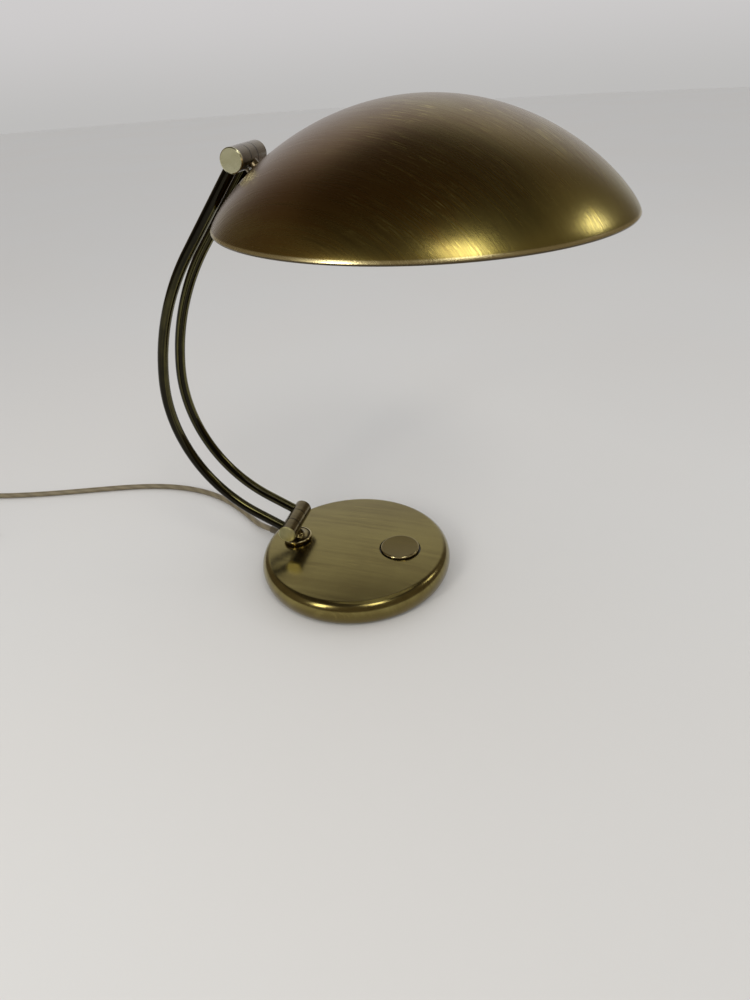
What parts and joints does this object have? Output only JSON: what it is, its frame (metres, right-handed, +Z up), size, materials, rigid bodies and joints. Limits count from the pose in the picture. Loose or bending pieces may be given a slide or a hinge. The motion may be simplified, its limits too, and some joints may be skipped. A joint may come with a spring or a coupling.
{
  "type": "desk lamp",
  "caption": "Desk lamp with a wide shallow dome shade on two curved tube arms, tilting at barrel hinges on a low round base with a push button.",
  "frame": {"origin": "middle of the base, on the surface the lamp stands on", "axes": "+Z up, +X from the base's middle towards where the shade reaches, +Y along the two hinge axes, away from the capped ends of the barrels"},
  "size_m": [0.8665, 0.33, 0.4439],
  "materials": {
    "brushed_brass": "antiqued brass, brushed across, clear lacquer",
    "button_brass": "antiqued brass, turned face, clear lacquer",
    "hinge_brass": "antiqued brass, satin, clear lacquer",
    "arm_brass": "dark antiqued brass tube, satin gloss",
    "shade_brass": "dark antiqued brass, spun and brushed, clear lacquer",
    "steel": "zinc plated",
    "iron": "as cast, dark paint",
    "bakelite": "dark moulded, half matt",
    "porcelain": "white glazed",
    "felt": "pressed felt",
    "opal_glass": "opal",
    "rubber": "matt",
    "cord": "smooth flexible sheath, half gloss",
    "lead": "smooth sheath",
    "plug_metal": "nickel plated"
  },
  "bodies": {
    "base": {"base_shell": "brushed_brass", "ballast": "iron", "bottom_cover": "steel", "cover_screws": "steel", "foot_pad": "felt", "rosette": "brushed_brass", "stem": "brushed_brass", "stem_nut": "steel", "lower_knuckle_middle": "hinge_brass", "button_cup": "bakelite", "cup_screws": "steel", "switch_body": "bakelite", "button_spring": "steel", "strain_relief": "rubber", "cord_run": "cord", "cord_coil": "cord", "cord_tie": "rubber", "cord_tail": "cord", "plug_body": "rubber", "plug_pins": "plug_metal"},
    "button": {"push_button": "button_brass", "switch_plunger": "porcelain"},
    "arms": {"lower_knuckle_front": "hinge_brass", "lower_knuckle_rear": "hinge_brass", "lower_cap": "hinge_brass", "lower_pivot": "steel", "lower_washers": "bakelite", "arm_front": "arm_brass", "arm_rear": "arm_brass", "inner_lead": "lead", "upper_knuckle_front": "hinge_brass", "upper_knuckle_rear": "hinge_brass", "upper_cap": "hinge_brass", "upper_pivot": "steel", "upper_washers": "bakelite"},
    "shade": {"upper_knuckle_middle": "hinge_brass", "set_screw": "steel", "neck_plate": "hinge_brass", "neck_tube": "hinge_brass", "shade_shell": "shade_brass", "inner_washer": "steel", "lock_nut": "hinge_brass", "holder_elbow": "hinge_brass", "holder_cap": "bakelite", "holder_skirt": "bakelite", "holder_insert": "porcelain", "holder_thread": "steel", "bulb_cap": "steel", "bulb_glass": "opal_glass"}
  },
  "joints": [
    {"name": "arm_tilt", "type": "hinge", "parent": "base", "child": "arms", "pos_m": [-0.0658, 0, 0.0513], "axis": [0, 1, 0], "range_deg": [-30, 20]},
    {"name": "shade_tilt", "type": "hinge", "parent": "arms", "child": "shade", "pos_m": [-0.06599, 0, 0.40595], "axis": [0, 1, 0], "range_deg": [-60, 5]},
    {"name": "button_press", "type": "slide", "parent": "base", "child": "button", "axis": [0, 0, -1], "range_m": [0, 0.002], "stiffness_N_per_m": 1500, "springref_m": -0.002, "deforming": ["button_spring"]}
  ]
}
